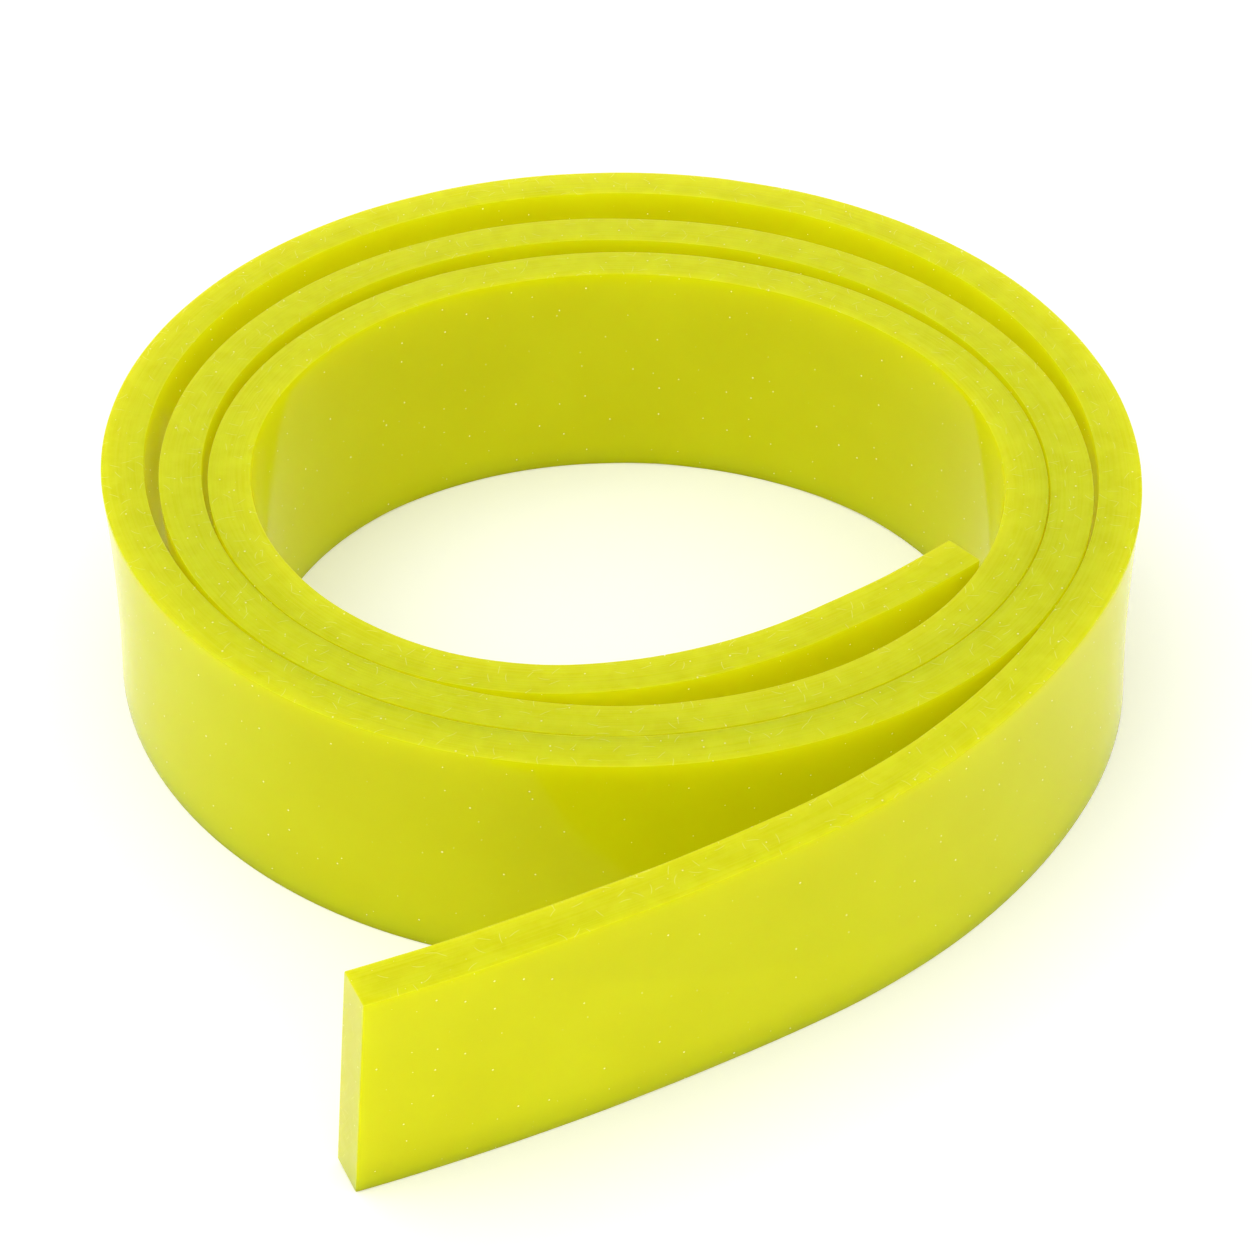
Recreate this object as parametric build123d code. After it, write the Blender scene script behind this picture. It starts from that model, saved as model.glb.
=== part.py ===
from build123d import *
from math import cos, degrees, pi, radians, sin
import os

# A length of polyurethane squeegee blade, moulded flat, slit to width and kept loosely coiled.
# The strip stands on one long cut edge. Seen from above it starts at the free inner end, on the
# right, and runs clockwise through three turns; the last stretch leaves the coil as a free tail.
# Turns that press on each other are drawn a hair apart, so the whole strip is one solid.
# Bearings are degrees clockwise from +X seen from above. Lengths are millimetres.

# Section of the blade
blade_width = 50.0          # height of the standing strip, cut edge to cut edge
blade_thickness = 8.5
turn_clearance = 0.3        # between turns that lie against each other

# Coil, measured on the middle line of the strip
bore_radius = 69.2          # of the slightly oval first turn, as an average
bore_ovality = 3.0          # how far the first turn is stretched along its long axis
bore_long_axis = 8.0        # bearing of that long axis
turn_count = 3

# Inner end: it springs away from the second turn, towards the bore, and its last stretch is straight
inner_end_bearing = 33.0    # where the straight stretch passes into the first turn
inner_end_straight = 14.0
inner_end_lift = 7.8        # widest gap behind it
inner_end_lift_bearing = 51.0
inner_end_lift_rise = 41.0
inner_end_lift_fall = 77.0

# Air pockets where a turn bows off the one inside it
first_pocket_gap = 4.6
first_pocket_bearing = 260.0
first_pocket_rise = 114.0
first_pocket_fall = 112.0
second_pocket_gap = 9.7
second_pocket_bearing = 275.0
second_pocket_rise = 146.0
second_pocket_fall = 108.0

# Tail: it parts from the third turn in a wide bend, then runs out nearly straight
tail_bearing = 25.0
tail_length = 174.7
tail_bend_radius = 154.0
tail_bend_spread = 21.0     # its upper edge bends this much wider than its foot, so it leans out
tail_bend_angle = 31.6
tail_run_radius = 497.0

station_step = 12.0         # bearing between the points that a turn's curve passes through
full_turn = 360.0


def pocket(bearing, gap, middle, rise, fall):
    """Smooth bulge of one air gap: full gap at its middle bearing, none past rise and fall."""
    reach = rise if bearing < middle else fall
    share = (bearing - middle) / reach
    if abs(share) >= 1.0:
        return 0.0
    return gap * (1.0 + cos(pi * share)) / 2.0


def pockets_at(bearing):
    """Air gap between the turn at this running bearing and the turn wound over it."""
    first = pocket(bearing, first_pocket_gap, first_pocket_bearing, first_pocket_rise, first_pocket_fall)
    second = pocket(
        bearing - full_turn, second_pocket_gap, second_pocket_bearing, second_pocket_rise, second_pocket_fall
    )
    return first + second


def coil_radius(bearing):
    """Middle line of the strip: an oval spiral that steps out over every air gap inside it."""
    pitch = blade_thickness + turn_clearance
    oval = bore_ovality * cos(2.0 * radians(bearing - bore_long_axis))
    radius = bore_radius + oval + pitch * bearing / full_turn
    for turn in range(1, turn_count + 1):
        radius += pockets_at(bearing - turn * full_turn)
    lift = pocket(
        bearing, inner_end_lift, inner_end_lift_bearing, inner_end_lift_rise, inner_end_lift_fall
    )
    return radius - lift


def coil_point(bearing):
    radius = coil_radius(bearing)
    return Vector(radius * cos(radians(bearing)), -radius * sin(radians(bearing)))


def coil_tangent(bearing, half_step=0.05):
    """Direction of travel along the strip, from the inner end towards the tail."""
    return (coil_point(bearing + half_step) - coil_point(bearing - half_step)).normalized()


def outward(tangent):
    """Left of the direction of travel, which is away from the bore."""
    return Vector(-tangent.Y, tangent.X)


def face_line(side, level):
    """Edge of one wide face: side -1 faces the bore, +1 faces out; level 0 is the foot, 1 the top."""
    offset = side * blade_thickness / 2.0
    end_bearing = turn_count * full_turn + tail_bearing
    steps = round((end_bearing - inner_end_bearing) / station_step)
    stations = [
        inner_end_bearing + (end_bearing - inner_end_bearing) * step / steps for step in range(steps + 1)
    ]
    turns = Spline(*[coil_point(station) + outward(coil_tangent(station)) * offset for station in stations])
    inner_end = Line((turns @ 0) - coil_tangent(inner_end_bearing) * inner_end_straight, turns @ 0)
    bend_radius = tail_bend_radius + tail_bend_spread * (level - 0.5)
    run_length = tail_length - bend_radius * radians(tail_bend_angle)
    run_angle = degrees(run_length / tail_run_radius)
    bend = JernArc(turns @ 1, coil_tangent(end_bearing), bend_radius + offset, -tail_bend_angle)
    run = JernArc(bend @ 1, bend % 1, tail_run_radius + offset, -run_angle)
    return [inner_end, turns, bend, run]


def blade_outline(level):
    """The strip's whole outline at one level, as a flat face at its height."""
    inner_face = face_line(-1, level)
    outer_face = face_line(1, level)
    inner_end_cut = Line(inner_face[0] @ 0, outer_face[0] @ 0)
    tail_end_cut = Line(inner_face[-1] @ 1, outer_face[-1] @ 1)
    outline = make_face(inner_face + [tail_end_cut] + outer_face + [inner_end_cut])
    return Pos(0, 0, level * blade_width) * outline


def squeegee_blade():
    """The coiled strip, standing on its cut edge with the middle of its footprint at the origin."""
    strip = loft([blade_outline(0.0), blade_outline(1.0)], ruled=True)
    box = strip.bounding_box()
    middle = box.center()
    return Pos(-middle.X, -middle.Y, -box.min.Z) * strip


os.makedirs("parts", exist_ok=True)
blade = squeegee_blade()
blade.label = "squeegee_blade"
export_step(blade, "parts/squeegee_blade.step")
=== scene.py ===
import bpy
import math
from mathutils import Matrix, Vector


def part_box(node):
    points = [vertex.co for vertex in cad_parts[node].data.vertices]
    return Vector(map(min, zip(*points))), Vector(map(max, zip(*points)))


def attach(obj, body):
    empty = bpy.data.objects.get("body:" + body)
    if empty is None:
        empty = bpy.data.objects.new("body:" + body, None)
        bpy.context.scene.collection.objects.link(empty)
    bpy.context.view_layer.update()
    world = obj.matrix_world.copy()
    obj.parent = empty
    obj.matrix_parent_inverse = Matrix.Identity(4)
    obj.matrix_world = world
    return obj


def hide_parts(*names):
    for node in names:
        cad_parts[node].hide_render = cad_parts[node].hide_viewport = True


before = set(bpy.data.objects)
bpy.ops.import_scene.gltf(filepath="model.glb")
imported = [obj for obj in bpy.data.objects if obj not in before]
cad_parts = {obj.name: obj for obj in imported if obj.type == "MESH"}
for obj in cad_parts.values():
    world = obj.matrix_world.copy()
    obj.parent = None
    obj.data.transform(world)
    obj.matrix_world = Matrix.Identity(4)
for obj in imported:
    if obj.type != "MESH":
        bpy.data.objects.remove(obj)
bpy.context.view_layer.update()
scene = bpy.context.scene
scene.view_settings.view_transform = "Standard"

# The blade strip: one length of see-through polyurethane squeegee blade, moulded flat as a sheet,
# slit to width and kept coiled on its cut edge. It winds clockwise from the free inner end through
# three turns, bows off itself at the back, and runs out at the front as a leaning tail.
MM = 0.001
blade_width = 50.0 * MM
blade_thickness = 8.5 * MM
turn_clearance = 0.3 * MM
bore_radius = 69.2 * MM
bore_ovality = 3.0 * MM
bore_long_axis = 8.0
turn_count = 3
inner_end_bearing = 33.0
inner_end_straight = 14.0 * MM
tail_bearing = 25.0
tail_length = 174.7 * MM
tail_bend_radius = 154.0 * MM
tail_bend_spread = 21.0 * MM
tail_bend_angle = 31.6
tail_run_radius = 497.0 * MM
full_turn = 360.0
# width of each air gap, its middle bearing, and how far it reaches before and past that
inner_end_lift = (7.8 * MM, 51.0, 41.0, 77.0)
first_pocket = (4.6 * MM, 260.0, 114.0, 112.0)
second_pocket = (9.7 * MM, 635.0, 146.0, 108.0)
path_step = 2.4 * MM        # between two cross-sections of the finished strip


def gap_at(bearing, gap):
    width, middle, rise, fall = gap
    share = (bearing - middle) / (rise if bearing < middle else fall)
    return width * (1.0 + math.cos(math.pi * share)) / 2.0 if abs(share) < 1.0 else 0.0


def coil_point(bearing):
    """Middle line of the coil: an oval spiral that steps out over every air gap inside it."""
    oval = bore_ovality * math.cos(2.0 * math.radians(bearing - bore_long_axis))
    radius = bore_radius + oval + (blade_thickness + turn_clearance) * bearing / full_turn
    for turn in range(1, turn_count + 1):
        inner_bearing = bearing - turn * full_turn
        radius += gap_at(inner_bearing, first_pocket) + gap_at(inner_bearing, second_pocket)
    radius -= gap_at(bearing, inner_end_lift)
    angle = math.radians(bearing)
    return Vector((radius * math.cos(angle), -radius * math.sin(angle), 0.0))


def coil_heading(bearing, half_step=0.05):
    return (coil_point(bearing + half_step) - coil_point(bearing - half_step)).normalized()


def tail_points(start, heading, bend_radius):
    """One edge of the tail: a wide bend, then a nearly straight run, in equal steps of its length."""
    right = Vector((heading.y, -heading.x, 0.0))
    bend_length = bend_radius * math.radians(tail_bend_angle)
    steps = round(tail_length / path_step)
    points = []
    for step in range(steps + 1):
        way = tail_length * step / steps
        turned = min(way, bend_length) / bend_radius
        point = start + heading * bend_radius * math.sin(turned)
        point += right * bend_radius * (1.0 - math.cos(turned))
        run = max(way - bend_length, 0.0) / tail_run_radius
        ahead = heading * math.cos(turned) + right * math.sin(turned)
        aside = right * math.cos(turned) - heading * math.sin(turned)
        point += ahead * tail_run_radius * math.sin(run)
        point += aside * tail_run_radius * (1.0 - math.cos(run))
        points.append(point)
    return points


def strip_path():
    """Middle line of the strip, with how far its top edge stands off it at each point."""
    points, leans = [], []
    start, heading = coil_point(inner_end_bearing), coil_heading(inner_end_bearing)
    steps = round(inner_end_straight / path_step)
    for step in range(steps):
        points.append(start - heading * inner_end_straight * (1.0 - step / steps))
        leans.append(Vector((0.0, 0.0, 0.0)))
    end_bearing = turn_count * full_turn + tail_bearing
    bearing = inner_end_bearing
    while bearing < end_bearing:
        points.append(coil_point(bearing))
        leans.append(Vector((0.0, 0.0, 0.0)))
        bearing += math.degrees(path_step / coil_point(bearing).length)
    start, heading = coil_point(end_bearing), coil_heading(end_bearing)
    foot = tail_points(start, heading, tail_bend_radius - tail_bend_spread / 2.0)
    top = tail_points(start, heading, tail_bend_radius + tail_bend_spread / 2.0)
    for low, high in zip(foot, top):
        points.append((low + high) / 2.0)
        leans.append((high - low) / 2.0)
    return points, leans


def plan_box(points, leans):
    """Lowest and highest corner of the strip seen from above, at its foot and its top edge."""
    corners = []
    for here, after, lean in zip(points, points[1:], leans[1:]):
        travel = (after - here).normalized()
        side = Vector((-travel.y, travel.x, 0.0)) * blade_thickness / 2.0
        corners += [after + side + lean, after - side + lean, after + side - lean, after - side - lean]
    xs, ys = [c.x for c in corners], [c.y for c in corners]
    return Vector((min(xs), min(ys), 0.0)), Vector((max(xs), max(ys), 0.0))


path_points, path_leans = strip_path()
plan_low, plan_high = plan_box(path_points, path_leans)
node_low, node_high = (Vector(corner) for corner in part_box("squeegee_blade"))
coil_pole = (node_low + node_high - plan_low - plan_high) / 2.0
coil_pole.z = node_low.z + blade_width / 2.0

rail = bpy.data.meshes.new("strip_rail")
rail.from_pydata(
    [point + coil_pole for point in path_points],
    [(index, index + 1) for index in range(len(path_points) - 1)],
    [],
)
rail.attributes.new("lean", "FLOAT_VECTOR", "POINT").data.foreach_set(
    "vector", [value for lean in path_leans for value in lean]
)
blade = bpy.data.objects.new("blade_strip", rail)
scene.collection.objects.link(blade)


class Tree:
    """Adds nodes to a node tree, each input filled by its name or number with a value or a socket."""

    def __init__(self, tree):
        self.tree = tree

    def add(self, kind, values=(), **settings):
        node = self.tree.nodes.new(kind)
        for name, value in settings.items():
            setattr(node, name, value)
        for name, value in dict(values).items():
            self.put(node.inputs[name], value)
        return node

    def put(self, socket, value):
        if isinstance(value, bpy.types.Node):
            value = next(output for output in value.outputs if output.enabled)
        if isinstance(value, bpy.types.NodeSocket):
            self.tree.links.new(value, socket)
        else:
            socket.default_value = value

    def math(self, operation, *values):
        return self.add("ShaderNodeMath", enumerate(values), operation=operation).outputs[0]

    def vector(self, operation, *values):
        node = self.add("ShaderNodeVectorMath", enumerate(values), operation=operation)
        return node.outputs["Value" if operation in ("DOT_PRODUCT", "LENGTH") else "Vector"]

    def scaled(self, vector, factor):
        return self.add("ShaderNodeVectorMath", {0: vector, "Scale": factor}, operation="SCALE").outputs[0]

    def joined(self, *values):
        return self.add("ShaderNodeCombineXYZ", enumerate(values)).outputs[0]

    def ramp(self, value, low, high, to_low=0.0, to_high=1.0):
        """Smooth step of a value from low to high, put out between to_low and to_high."""
        node = self.add(
            "ShaderNodeMapRange",
            {0: value, 1: low, 2: high, 3: to_low, 4: to_high},
            interpolation_type="SMOOTHSTEP",
        )
        return node.outputs[0]

    def mix(self, share, colour, other):
        """Blend of two colours, each a socket or red, green and blue."""
        node = self.add("ShaderNodeMix", {0: share}, data_type="RGBA")
        for place, tint in ((6, colour), (7, other)):
            self.put(node.inputs[place], tint if isinstance(tint, bpy.types.NodeSocket) else (*tint, 1.0))
        return node.outputs[2]


def blade_sweep():
    """Sweeps the blade's section along its path, then bows and leans the wall as bending does."""
    tree = bpy.data.node_groups.new("blade_sweep", "GeometryNodeTree")
    face = tree.interface
    face.new_socket("Geometry", in_out="INPUT", socket_type="NodeSocketGeometry")
    for name in (
        "Width", "Thickness", "Corner Radius", "Bow", "Tail Start", "Tail Length",
        "Edge Waver", "End Slant", "End Lean", "End Fade", "Seed",
    ):
        face.new_socket(name, in_out="INPUT", socket_type="NodeSocketFloat")
    for name in ("Moulded Finish", "Cut Finish"):
        face.new_socket(name, in_out="INPUT", socket_type="NodeSocketMaterial")
    face.new_socket("Geometry", in_out="OUTPUT", socket_type="NodeSocketGeometry")
    t = Tree(tree)
    given = t.add("NodeGroupInput").outputs

    # the rail, with what each cross-section needs to know of it
    rail_curve = t.add("GeometryNodeMeshToCurve", {"Mesh": given["Geometry"]})
    upright = t.add("GeometryNodeSetCurveNormal", {"Curve": rail_curve}, mode="Z_UP")
    way = t.add("GeometryNodeSplineParameter").outputs["Length"]
    travel = t.add("GeometryNodeInputTangent").outputs[0]
    outward = t.vector("CROSS_PRODUCT", (0.0, 0.0, 1.0), travel)
    lean = t.add("GeometryNodeInputNamedAttribute", {"Name": "lean"}, data_type="FLOAT_VECTOR")
    keep = t.add("GeometryNodeCaptureAttribute", {"Geometry": upright}, domain="POINT")
    for kind, name, value in (
        ("VECTOR", "Place", t.add("GeometryNodeInputPosition")),
        ("VECTOR", "Travel", travel),
        ("VECTOR", "Outward", outward),
        ("VECTOR", "Lean", lean.outputs["Attribute"]),
        ("FLOAT", "Way", way),
    ):
        keep.capture_items.new(kind, name)
        t.put(keep.inputs[name], value)

    # the section: X across the thickness, Y up the wall, rounded corners, finer up the wall
    corner_points, wall_cuts, edge_cuts = 4, 23, 3
    section = t.add(
        "GeometryNodeCurvePrimitiveQuadrilateral", {"Width": given["Thickness"], "Height": given["Width"]}
    )
    rounded = t.add(
        "GeometryNodeFilletCurve",
        {"Curve": section, "Radius": given["Corner Radius"], "Count": corner_points - 1},
        mode="POLY",
    )
    index = t.add("GeometryNodeInputIndex").outputs[0]
    ends_corner = t.math("COMPARE", t.math("MODULO", index, corner_points), corner_points - 1, 0.5)
    corner = t.math("FLOOR", t.math("DIVIDE", index, corner_points))
    on_wall = t.math("MODULO", corner, 2.0)
    cuts = t.math("MULTIPLY_ADD", on_wall, wall_cuts - edge_cuts, edge_cuts)
    cuts = t.math("MULTIPLY", cuts, ends_corner)
    divided = t.add("GeometryNodeSubdivideCurve", {"Curve": rounded, "Cuts": cuts})
    keep_section = t.add("GeometryNodeCaptureAttribute", {"Geometry": divided}, domain="POINT")
    keep_section.capture_items.new("VECTOR", "Section")
    t.put(keep_section.inputs["Section"], t.add("GeometryNodeInputPosition"))

    swept = t.add(
        "GeometryNodeCurveToMesh",
        {
            "Curve": keep.outputs["Geometry"],
            "Profile Curve": keep_section.outputs["Geometry"],
            "Fill Caps": True,
        },
    )

    # the wall's middle bows towards the bore, and the bow fades out along the tail
    apart = t.add("ShaderNodeSeparateXYZ", {0: keep_section.outputs["Section"]}).outputs
    across, height = apart["X"], apart["Y"]
    half_width = t.math("MULTIPLY", given["Width"], 0.5)
    half_thickness = t.math("MULTIPLY", given["Thickness"], 0.5)
    level = t.math("DIVIDE", height, half_width)
    past_coil = t.math("SUBTRACT", keep.outputs["Way"], given["Tail Start"])
    half_tail = t.math("MULTIPLY", given["Tail Length"], 0.5)
    bow = t.math("MULTIPLY", given["Bow"], t.ramp(past_coil, 0.0, half_tail, 1.0, 0.1))
    bulge = t.math("MULTIPLY", bow, t.math("SUBTRACT", t.math("MULTIPLY", level, level), 1.0))
    sideways = t.math("ADD", across, bulge)

    # the leaning tail is tipped as one stiff wall and stands on the outer corner of its foot
    lean_out = t.vector("DOT_PRODUCT", keep.outputs["Lean"], keep.outputs["Outward"])
    slope = t.math("DIVIDE", lean_out, half_width)
    upright_share = t.math("SQRT", t.math("SUBTRACT", 1.0, t.math("MULTIPLY", slope, slope)))
    raised = t.math("MULTIPLY", t.math("ADD", height, half_width), upright_share)
    raised = t.math("SUBTRACT", raised, half_width)
    dropped = t.math("MULTIPLY", t.math("SUBTRACT", across, half_thickness), slope)

    # the slitting knife wandered a little into the strip along both edges
    waver_place = t.joined(keep.outputs["Way"], t.math("SIGN", height))
    waver = t.add(
        "ShaderNodeTexNoise",
        {"Vector": waver_place, "W": given["Seed"], "Scale": 26.0, "Detail": 2.0, "Roughness": 0.4},
        noise_dimensions="4D",
    ).outputs[0]
    waver = t.math("MULTIPLY", t.math("MAXIMUM", t.math("SUBTRACT", waver, 0.5), 0.0), given["Edge Waver"])
    near_edge = t.math("POWER", t.math("ABSOLUTE", level), 8.0)
    waver = t.math("MULTIPLY", t.math("MULTIPLY", waver, near_edge), t.math("SIGN", height))
    upward = t.math("SUBTRACT", t.math("SUBTRACT", raised, dropped), waver)

    # the end of the tail was cut off by hand, not quite square either way
    end_start = t.math("SUBTRACT", given["Tail Length"], given["End Fade"])
    at_end = t.ramp(past_coil, end_start, given["Tail Length"])
    slant = t.math("MULTIPLY", t.math("DIVIDE", across, half_thickness), given["End Slant"])
    ahead = t.math("ADD", slant, t.math("MULTIPLY", level, given["End Lean"]))
    ahead = t.math("MULTIPLY", t.math("MULTIPLY", ahead, at_end), -1.0)

    place = t.vector("ADD", keep.outputs["Place"], t.scaled(keep.outputs["Outward"], sideways))
    place = t.vector("ADD", place, t.scaled(keep.outputs["Lean"], level))
    place = t.vector("ADD", place, t.scaled(keep.outputs["Travel"], ahead))
    place = t.vector("ADD", place, t.scaled((0.0, 0.0, 1.0), upward))
    stood = t.add("GeometryNodeSetPosition", {"Geometry": swept, "Position": place})

    # strip coordinates for the finish: along the strip, across its thickness, up its wall
    is_end = t.math("GREATER_THAN", t.add("GeometryNodeInputMeshFaceNeighbors").outputs["Vertex Count"], 4.5)
    named = stood
    for name, value, kind, domain in (
        ("strip_place", t.joined(keep.outputs["Way"], across, height), "FLOAT_VECTOR", "POINT"),
        ("end_cut", is_end, "FLOAT", "FACE"),
    ):
        named = t.add(
            "GeometryNodeStoreNamedAttribute",
            {"Geometry": named, "Name": name, "Value": value},
            data_type=kind,
            domain=domain,
        )
    shaded = t.add("GeometryNodeSetShadeSmooth", {"Geometry": named, "Shade Smooth": True})
    realized = t.add("GeometryNodeRealizeInstances", {"Geometry": shaded})

    # the wide faces keep the mould's gloss, and the narrow faces and both ends are knife cuts
    edge_line = t.math("MULTIPLY_ADD", given["Corner Radius"], -0.5, half_width)
    on_edge = t.math("GREATER_THAN", t.math("ABSOLUTE", height), edge_line)
    dressed = t.add("GeometryNodeSetMaterial", {"Geometry": realized, "Material": given["Moulded Finish"]})
    dressed = t.add(
        "GeometryNodeSetMaterial",
        {
            "Geometry": dressed,
            "Selection": t.math("MAXIMUM", on_edge, is_end),
            "Material": given["Cut Finish"],
        },
    )
    t.add("NodeGroupOutput", {0: dressed})
    return tree


def finish_group(name, inputs, outputs):
    """An empty shader node group with its named inputs and outputs, and its input sockets."""
    tree = bpy.data.node_groups.new(name, "ShaderNodeTree")
    for socket, kind in inputs.items():
        tree.interface.new_socket(socket, in_out="INPUT", socket_type="NodeSocket" + kind)
    for socket in outputs:
        tree.interface.new_socket(socket, in_out="OUTPUT", socket_type="NodeSocketFloat")
    t = Tree(tree)
    return t, t.add("NodeGroupInput").outputs


def clouding_group():
    """Soft cloudy patches, where the urethane or the handling of it left the surface uneven."""
    t, given = finish_group(
        "clouding",
        {"Place": "Vector", "Patch Size": "Float", "Fineness": "Float", "Contrast": "Float"},
        ("Cloud",),
    )
    noise = t.add(
        "ShaderNodeTexNoise",
        {
            "Vector": given["Place"],
            "Scale": t.math("DIVIDE", 1.0, given["Patch Size"]),
            "Detail": given["Fineness"],
            "Roughness": 0.55,
        },
    )
    swing = t.math("DIVIDE", 0.5, given["Contrast"])
    low, high = t.math("SUBTRACT", 0.5, swing), t.math("ADD", 0.5, swing)
    t.add("NodeGroupOutput", {"Cloud": t.ramp(noise.outputs[0], low, high)})
    return t.tree


def knife_lines_group():
    """Fine lines that the knife dragged along a cut face, some faint and some plain."""
    t, given = finish_group(
        "knife_lines", {"Along": "Float", "Across": "Float", "Spacing": "Float", "Length": "Float"}, ("Line",)
    )
    stretched = t.joined(
        t.math("DIVIDE", given["Along"], given["Length"]), t.math("DIVIDE", given["Across"], given["Spacing"])
    )
    lines = t.add(
        "ShaderNodeTexNoise",
        {"Vector": stretched, "Scale": 1.0, "Detail": 2.0, "Roughness": 0.65},
        noise_dimensions="2D",
    )
    t.add("NodeGroupOutput", {"Line": t.ramp(lines.outputs[0], 0.32, 0.68)})
    return t.tree


def hair_scratches_group():
    """Short curved hairlines, one at most to a cell, each turned and bent its own way."""
    t, given = finish_group(
        "hair_scratches",
        {"Place": "Vector", "Spacing": "Float", "Length": "Float", "Width": "Float", "Share": "Float"},
        ("Scratch",),
    )
    cell = t.add(
        "ShaderNodeTexVoronoi",
        {"Vector": given["Place"], "Scale": t.math("DIVIDE", 1.0, given["Spacing"])},
        voronoi_dimensions="2D",
    ).outputs
    chance = t.add("ShaderNodeSeparateColor", {0: cell["Color"]}).outputs
    away = t.vector("SUBTRACT", given["Place"], cell["Position"])
    turned = t.add(
        "ShaderNodeVectorRotate",
        {"Vector": away, "Angle": t.math("MULTIPLY", chance["Red"], 2.0 * math.pi)},
        rotation_type="Z_AXIS",
    )
    local = t.add("ShaderNodeSeparateXYZ", {0: turned}).outputs
    bend = t.math("DIVIDE", t.math("SUBTRACT", chance["Green"], 0.5), given["Length"])
    off_line = t.math("MULTIPLY_ADD", t.math("MULTIPLY", local["X"], local["X"]), bend, local["Y"])
    beside = t.ramp(t.math("ABSOLUTE", off_line), 0.0, given["Width"], 1.0, 0.0)
    half_length = t.math("MULTIPLY", given["Length"], 0.5)
    lengthwise = t.ramp(t.math("ABSOLUTE", local["X"]), t.math("MULTIPLY", half_length, 0.5), half_length, 1.0, 0.0)
    there = t.math("LESS_THAN", chance["Blue"], given["Share"])
    scratch = t.math("MULTIPLY", t.math("MULTIPLY", beside, lengthwise), there)
    t.add("NodeGroupOutput", {"Scratch": scratch})
    return t.tree


def dust_specks_group():
    """Tiny grains of white dust of many sizes, one to a cell of the surface."""
    t, given = finish_group(
        "dust_specks", {"Place": "Vector", "Spacing": "Float", "Size": "Float"}, ("Speck",)
    )
    cell = t.add(
        "ShaderNodeTexVoronoi",
        {"Vector": given["Place"], "Scale": t.math("DIVIDE", 1.0, given["Spacing"])},
        voronoi_dimensions="2D",
    ).outputs
    chance = t.add("ShaderNodeSeparateColor", {0: cell["Color"]}).outputs
    chance = t.math("POWER", chance["Red"], 2.0)
    radius = t.math("MULTIPLY", t.math("MULTIPLY", given["Size"], 0.5), chance)
    distance = t.math("MULTIPLY", cell["Distance"], given["Spacing"])
    t.add(
        "NodeGroupOutput", {"Speck": t.ramp(distance, t.math("MULTIPLY", radius, 0.4), radius, 1.0, 0.0)}
    )
    return t.tree


clouding = clouding_group()
knife_lines = knife_lines_group()
hair_scratches = hair_scratches_group()
dust_specks = dust_specks_group()


def open_finish(name):
    """A new material, ready for nodes, with the strip coordinates of the point being shaded."""
    material = bpy.data.materials.new(name)
    material.use_nodes = True
    material.node_tree.nodes.clear()
    t = Tree(material.node_tree)
    place = t.add("ShaderNodeAttribute", attribute_name="strip_place").outputs["Vector"]
    return material, t, place, t.add("ShaderNodeSeparateXYZ", {0: place}).outputs


def group(t, tree, **inputs):
    """One node group placed in a material; underscores stand for the spaces in its input names."""
    node = t.add("ShaderNodeGroup", node_tree=tree)
    for name, value in inputs.items():
        t.put(node.inputs[name.replace("_", " ")], value)
    return node.outputs[0]


def close_finish(t, colour, roughness, normal, transmission, painted_glow):
    """The urethane itself: light soaks into it and a part goes through. A faint warm painted glow lifts its shade
    in crevices and thick layers, standing in for light scattered inside the body.
    """
    body = t.add(
        "ShaderNodeBsdfPrincipled",
        {
            "Base Color": colour,
            "Roughness": roughness,
            "Normal": normal,
            "Transmission Weight": transmission,
            "Subsurface Weight": 1.0,
            "Subsurface Radius": (1.5, 1.0, 0.2),
            "Subsurface Scale": 12.0 * MM,
            "IOR": 1.3,
            "Specular IOR Level": 0.07,
            # painted glow: a faint reddish-yellow emission that brightens the shaded parts and warms their hue
            "Emission Color": (0.9, 0.78, 0.0, 1.0),
            "Emission Strength": painted_glow,
        },
    )
    t.add("ShaderNodeOutputMaterial", {"Surface": body})


# the wide faces: glossy from the mould, faintly uneven, with few grains of dust
urethane_moulded, t, place, strip = open_finish("urethane_moulded")
face_place = t.joined(strip["X"], strip["Z"])
tone = group(t, clouding, Place=face_place, Patch_Size=26.0 * MM, Fineness=2.0, Contrast=1.7)
speck = group(t, dust_specks, Place=face_place, Spacing=5.5 * MM, Size=0.5 * MM)
colour = t.mix(tone, (0.665, 0.695, 0.003), (0.705, 0.745, 0.005))
colour = t.mix(t.math("MULTIPLY", speck, 0.8), colour, (0.95, 0.95, 0.6))
roughness = t.math("MAXIMUM", t.ramp(tone, 0.0, 1.0, 0.07, 0.12), t.math("MULTIPLY", speck, 0.6))
wave = group(t, clouding, Place=face_place, Patch_Size=15.0 * MM, Fineness=0.0, Contrast=1.0)
normal = t.add("ShaderNodeBump", {"Strength": 0.3, "Distance": 0.15 * MM, "Height": wave})
# the last value is the strength of the painted glow that lifts the shade
close_finish(t, colour, roughness, normal, 0.33, 0.085)

# the cut faces: satin, clouded, with knife lines along them, scratches and more dust;
# both ends are paler and their lines run on the slant
urethane_cut, t, place, strip = open_finish("urethane_cut")
end_cut = t.add("ShaderNodeAttribute", attribute_name="end_cut").outputs["Fac"]
end_line_angle = math.radians(62.0)
end_along = t.math(
    "MULTIPLY_ADD", strip["Z"], math.sin(end_line_angle), t.math("MULTIPLY", strip["Y"], math.cos(end_line_angle))
)
end_across = t.math(
    "MULTIPLY_ADD", strip["Z"], math.cos(end_line_angle), t.math("MULTIPLY", strip["Y"], -math.sin(end_line_angle))
)


def by_face(t, on_edge, on_end):
    """One value on the long cut faces and another on the two ends."""
    return t.add("ShaderNodeMix", {0: end_cut, 2: on_edge, 3: on_end}, data_type="FLOAT").outputs[0]


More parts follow.
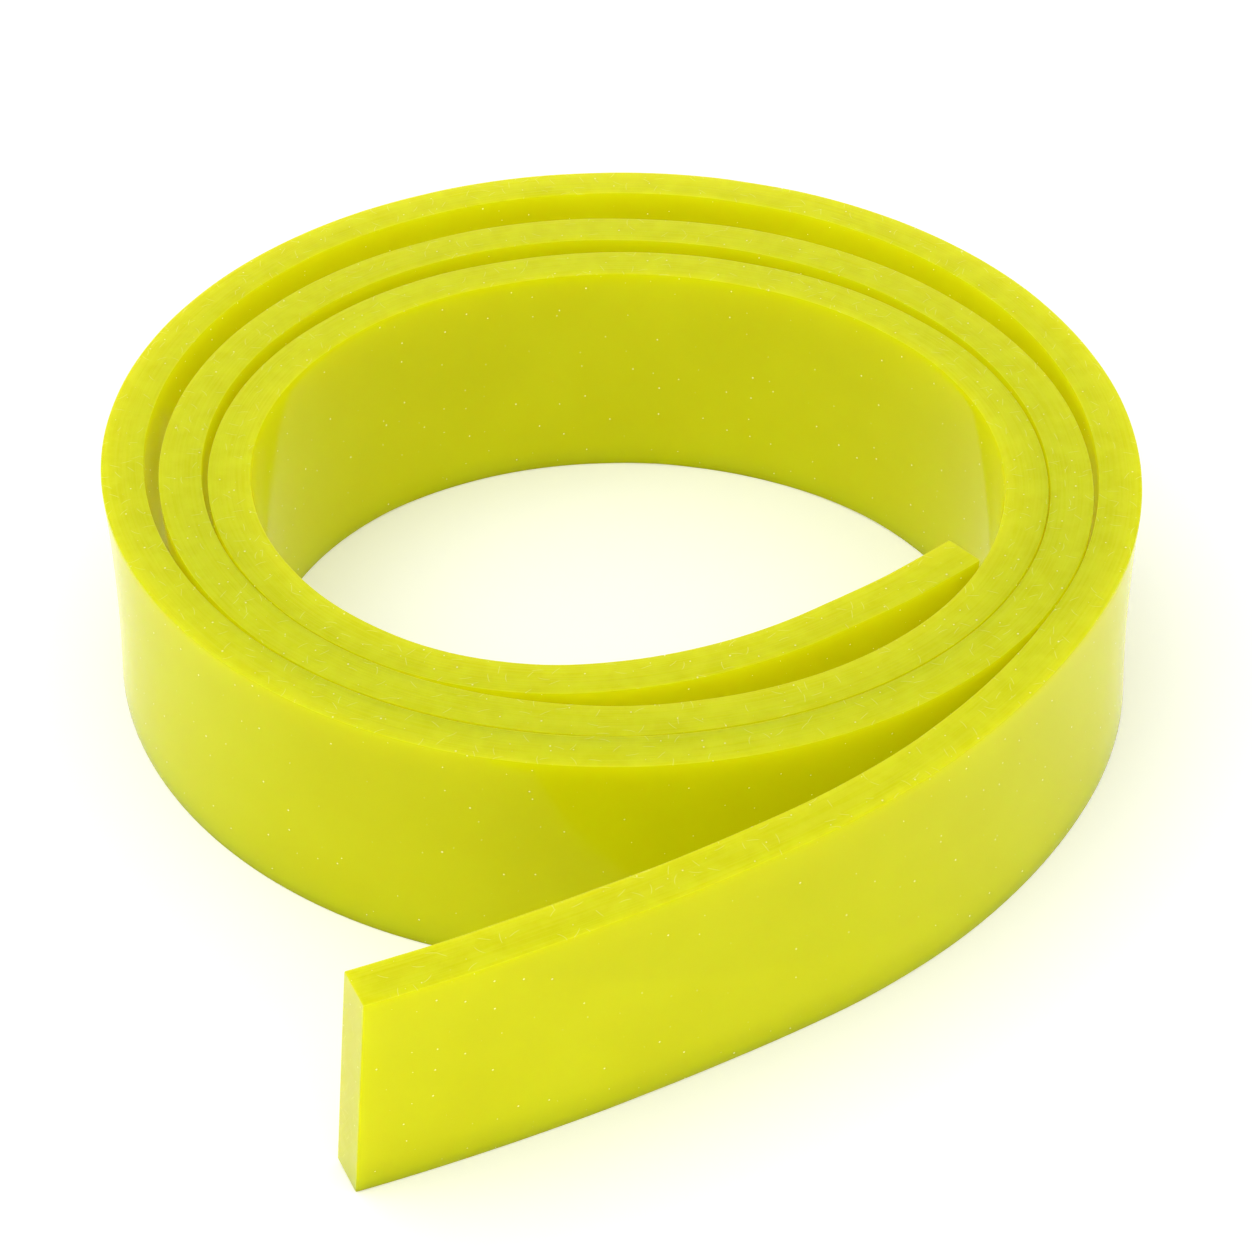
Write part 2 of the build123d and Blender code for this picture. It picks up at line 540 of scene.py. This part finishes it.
cut_place = t.joined(by_face(t, strip["X"], strip["Z"]), strip["Y"], by_face(t, strip["Z"], strip["X"]))
cloud = group(t, clouding, Place=cut_place, Patch_Size=5.0 * MM, Fineness=3.0, Contrast=2.6)
line = group(
    t,
    knife_lines,
    Along=by_face(t, strip["X"], end_along),
    Across=by_face(t, strip["Y"], end_across),
    Spacing=by_face(t, 0.5 * MM, 1.1 * MM),
    Length=by_face(t, 34.0 * MM, 40.0 * MM),
)
hair = group(
    t, hair_scratches, Place=cut_place, Spacing=3.2 * MM, Length=2.8 * MM, Width=0.11 * MM, Share=0.5
)
speck = group(t, dust_specks, Place=cut_place, Spacing=4.0 * MM, Size=0.5 * MM)
colour = t.mix(cloud, (0.55, 0.585, 0.003), (0.605, 0.655, 0.010))
colour = t.mix(t.math("MULTIPLY", line, 0.3), colour, (0.66, 0.7, 0.03))
colour = t.mix(t.math("MULTIPLY", end_cut, 0.75), colour, (0.63, 0.655, 0.16))
colour = t.mix(t.math("MULTIPLY", hair, 0.45), colour, (0.85, 0.88, 0.3))
colour = t.mix(t.math("MULTIPLY", speck, 0.85), colour, (0.95, 0.95, 0.6))
roughness = t.math("MAXIMUM", t.ramp(cloud, 0.0, 1.0, 0.28, 0.4), t.math("MULTIPLY", speck, 0.6))
normal = t.add("ShaderNodeBump", {"Strength": 0.35, "Distance": 0.12 * MM, "Height": line})
# the last value is the strength of the painted glow that lifts the shade
close_finish(t, colour, roughness, normal, 0.25, 0.08)

sweep = blade.modifiers.new("sweep", "NODES")
sweep.node_group = blade_sweep()
tail_start = sum((b - a).length for a, b in zip(path_points, path_points[1:])) - tail_length
sizes = {
    "Width": blade_width,
    "Thickness": blade_thickness,
    "Corner Radius": 0.35 * MM,
    "Bow": 0.7 * MM,
    "Tail Start": tail_start,
    "Tail Length": tail_length,
    "Edge Waver": 1.2 * MM,
    "End Slant": 0.23 * MM,
    "End Lean": 0.46 * MM,
    "End Fade": 12.0 * MM,
    "Seed": 3.0,
    "Moulded Finish": urethane_moulded,
    "Cut Finish": urethane_cut,
}
for item in sweep.node_group.interface.items_tree:
    if item.in_out == "INPUT" and item.name in sizes:
        sweep[item.identifier] = sizes[item.name]
end_round = blade.modifiers.new("end_round", "BEVEL")
end_round.width = 0.3 * MM
end_round.segments = 2
end_round.limit_method = "ANGLE"
end_round.angle_limit = math.radians(60.0)
finished = bpy.data.meshes.new_from_object(blade.evaluated_get(bpy.context.evaluated_depsgraph_get()))
blade.modifiers.clear()
blade.data = finished
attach(blade, "root")
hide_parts("squeegee_blade")

# The floor: a plain white table that takes the coil's soft shadow.
floor_mesh = bpy.data.meshes.new("floor")
reach = 4.0
floor_mesh.from_pydata(
    [(-reach, -reach, 0.0), (reach, -reach, 0.0), (reach, reach, 0.0), (-reach, reach, 0.0)], [], [(0, 1, 2, 3)]
)
floor = bpy.data.objects.new("floor", floor_mesh)
scene.collection.objects.link(floor)
floor_paint = bpy.data.materials.new("floor_white")
floor_paint.use_nodes = True
floor_paint.node_tree.nodes.clear()


def seen(t):
    """1 for light that reaches the eye straight, off a gloss or through the blade, 0 for light that lights."""
    path = t.add("ShaderNodeLightPath").outputs
    direct = t.math("MAXIMUM", path["Is Camera Ray"], path["Is Glossy Ray"])
    return t.math("MAXIMUM", direct, path["Is Transmission Ray"])


t = Tree(floor_paint.node_tree)
lit = t.add("ShaderNodeBsdfDiffuse", {"Color": (0.97, 0.97, 0.97, 1.0)})
glow = t.add("ShaderNodeEmission", {"Strength": t.math("MULTIPLY", seen(t), 0.14)})
t.add("ShaderNodeOutputMaterial", {"Surface": t.add("ShaderNodeAddShader", {0: lit, 1: glow})})
floor_mesh.materials.append(floor_paint)

# The light: an even white surround, with one broad soft lamp high on the left.
world = bpy.data.worlds.new("studio")
scene.world = world
world.use_nodes = True
world.node_tree.nodes.clear()
t = Tree(world.node_tree)
surround, backdrop = 0.95, 1.0
strength = t.math("MULTIPLY_ADD", seen(t), backdrop - surround, surround)
t.add(
    "ShaderNodeOutputWorld",
    {"Surface": t.add("ShaderNodeBackground", {"Color": (1.0, 1.0, 1.0, 1.0), "Strength": strength})},
)
lamp_data = bpy.data.lights.new("softbox", "AREA")
lamp_data.shape = "RECTANGLE"
lamp_data.size = 1.2
lamp_data.size_y = 1.2
lamp_data.energy = 5.0
lamp = bpy.data.objects.new("softbox", lamp_data)
lamp.location = (-0.5, -0.3, 1.3)
lamp.rotation_euler = (Vector((0.0, 0.0, 0.0)) - lamp.location).to_track_quat("-Z", "Y").to_euler()
scene.collection.objects.link(lamp)

# The camera: a long lens that looks down on the coil from the tail's side, a little out of level.
camera_data = bpy.data.cameras.new("camera")
camera_data.sensor_width = 36.0
camera_data.lens = 110.0
camera_aim = coil_pole + Vector((2.013, -19.521, 0.0)) * MM
camera_distance = 758.5 * MM
camera_elevation = math.radians(38.91)
camera_roll = math.radians(-0.444)
camera_data.clip_start = 0.05
camera_data.clip_end = 20.0
camera = bpy.data.objects.new("camera", camera_data)
scene.collection.objects.link(camera)
look = Vector((0.0, math.cos(camera_elevation), -math.sin(camera_elevation)))
level_axis = Vector((1.0, 0.0, 0.0))
upper_axis = level_axis.cross(look)
right_axis = level_axis * math.cos(camera_roll) + upper_axis * math.sin(camera_roll)
up_axis = upper_axis * math.cos(camera_roll) - level_axis * math.sin(camera_roll)
turn = Matrix((right_axis, up_axis, -look)).transposed()
camera.matrix_world = Matrix.Translation(camera_aim - look * camera_distance) @ turn.to_4x4()
scene.camera = camera
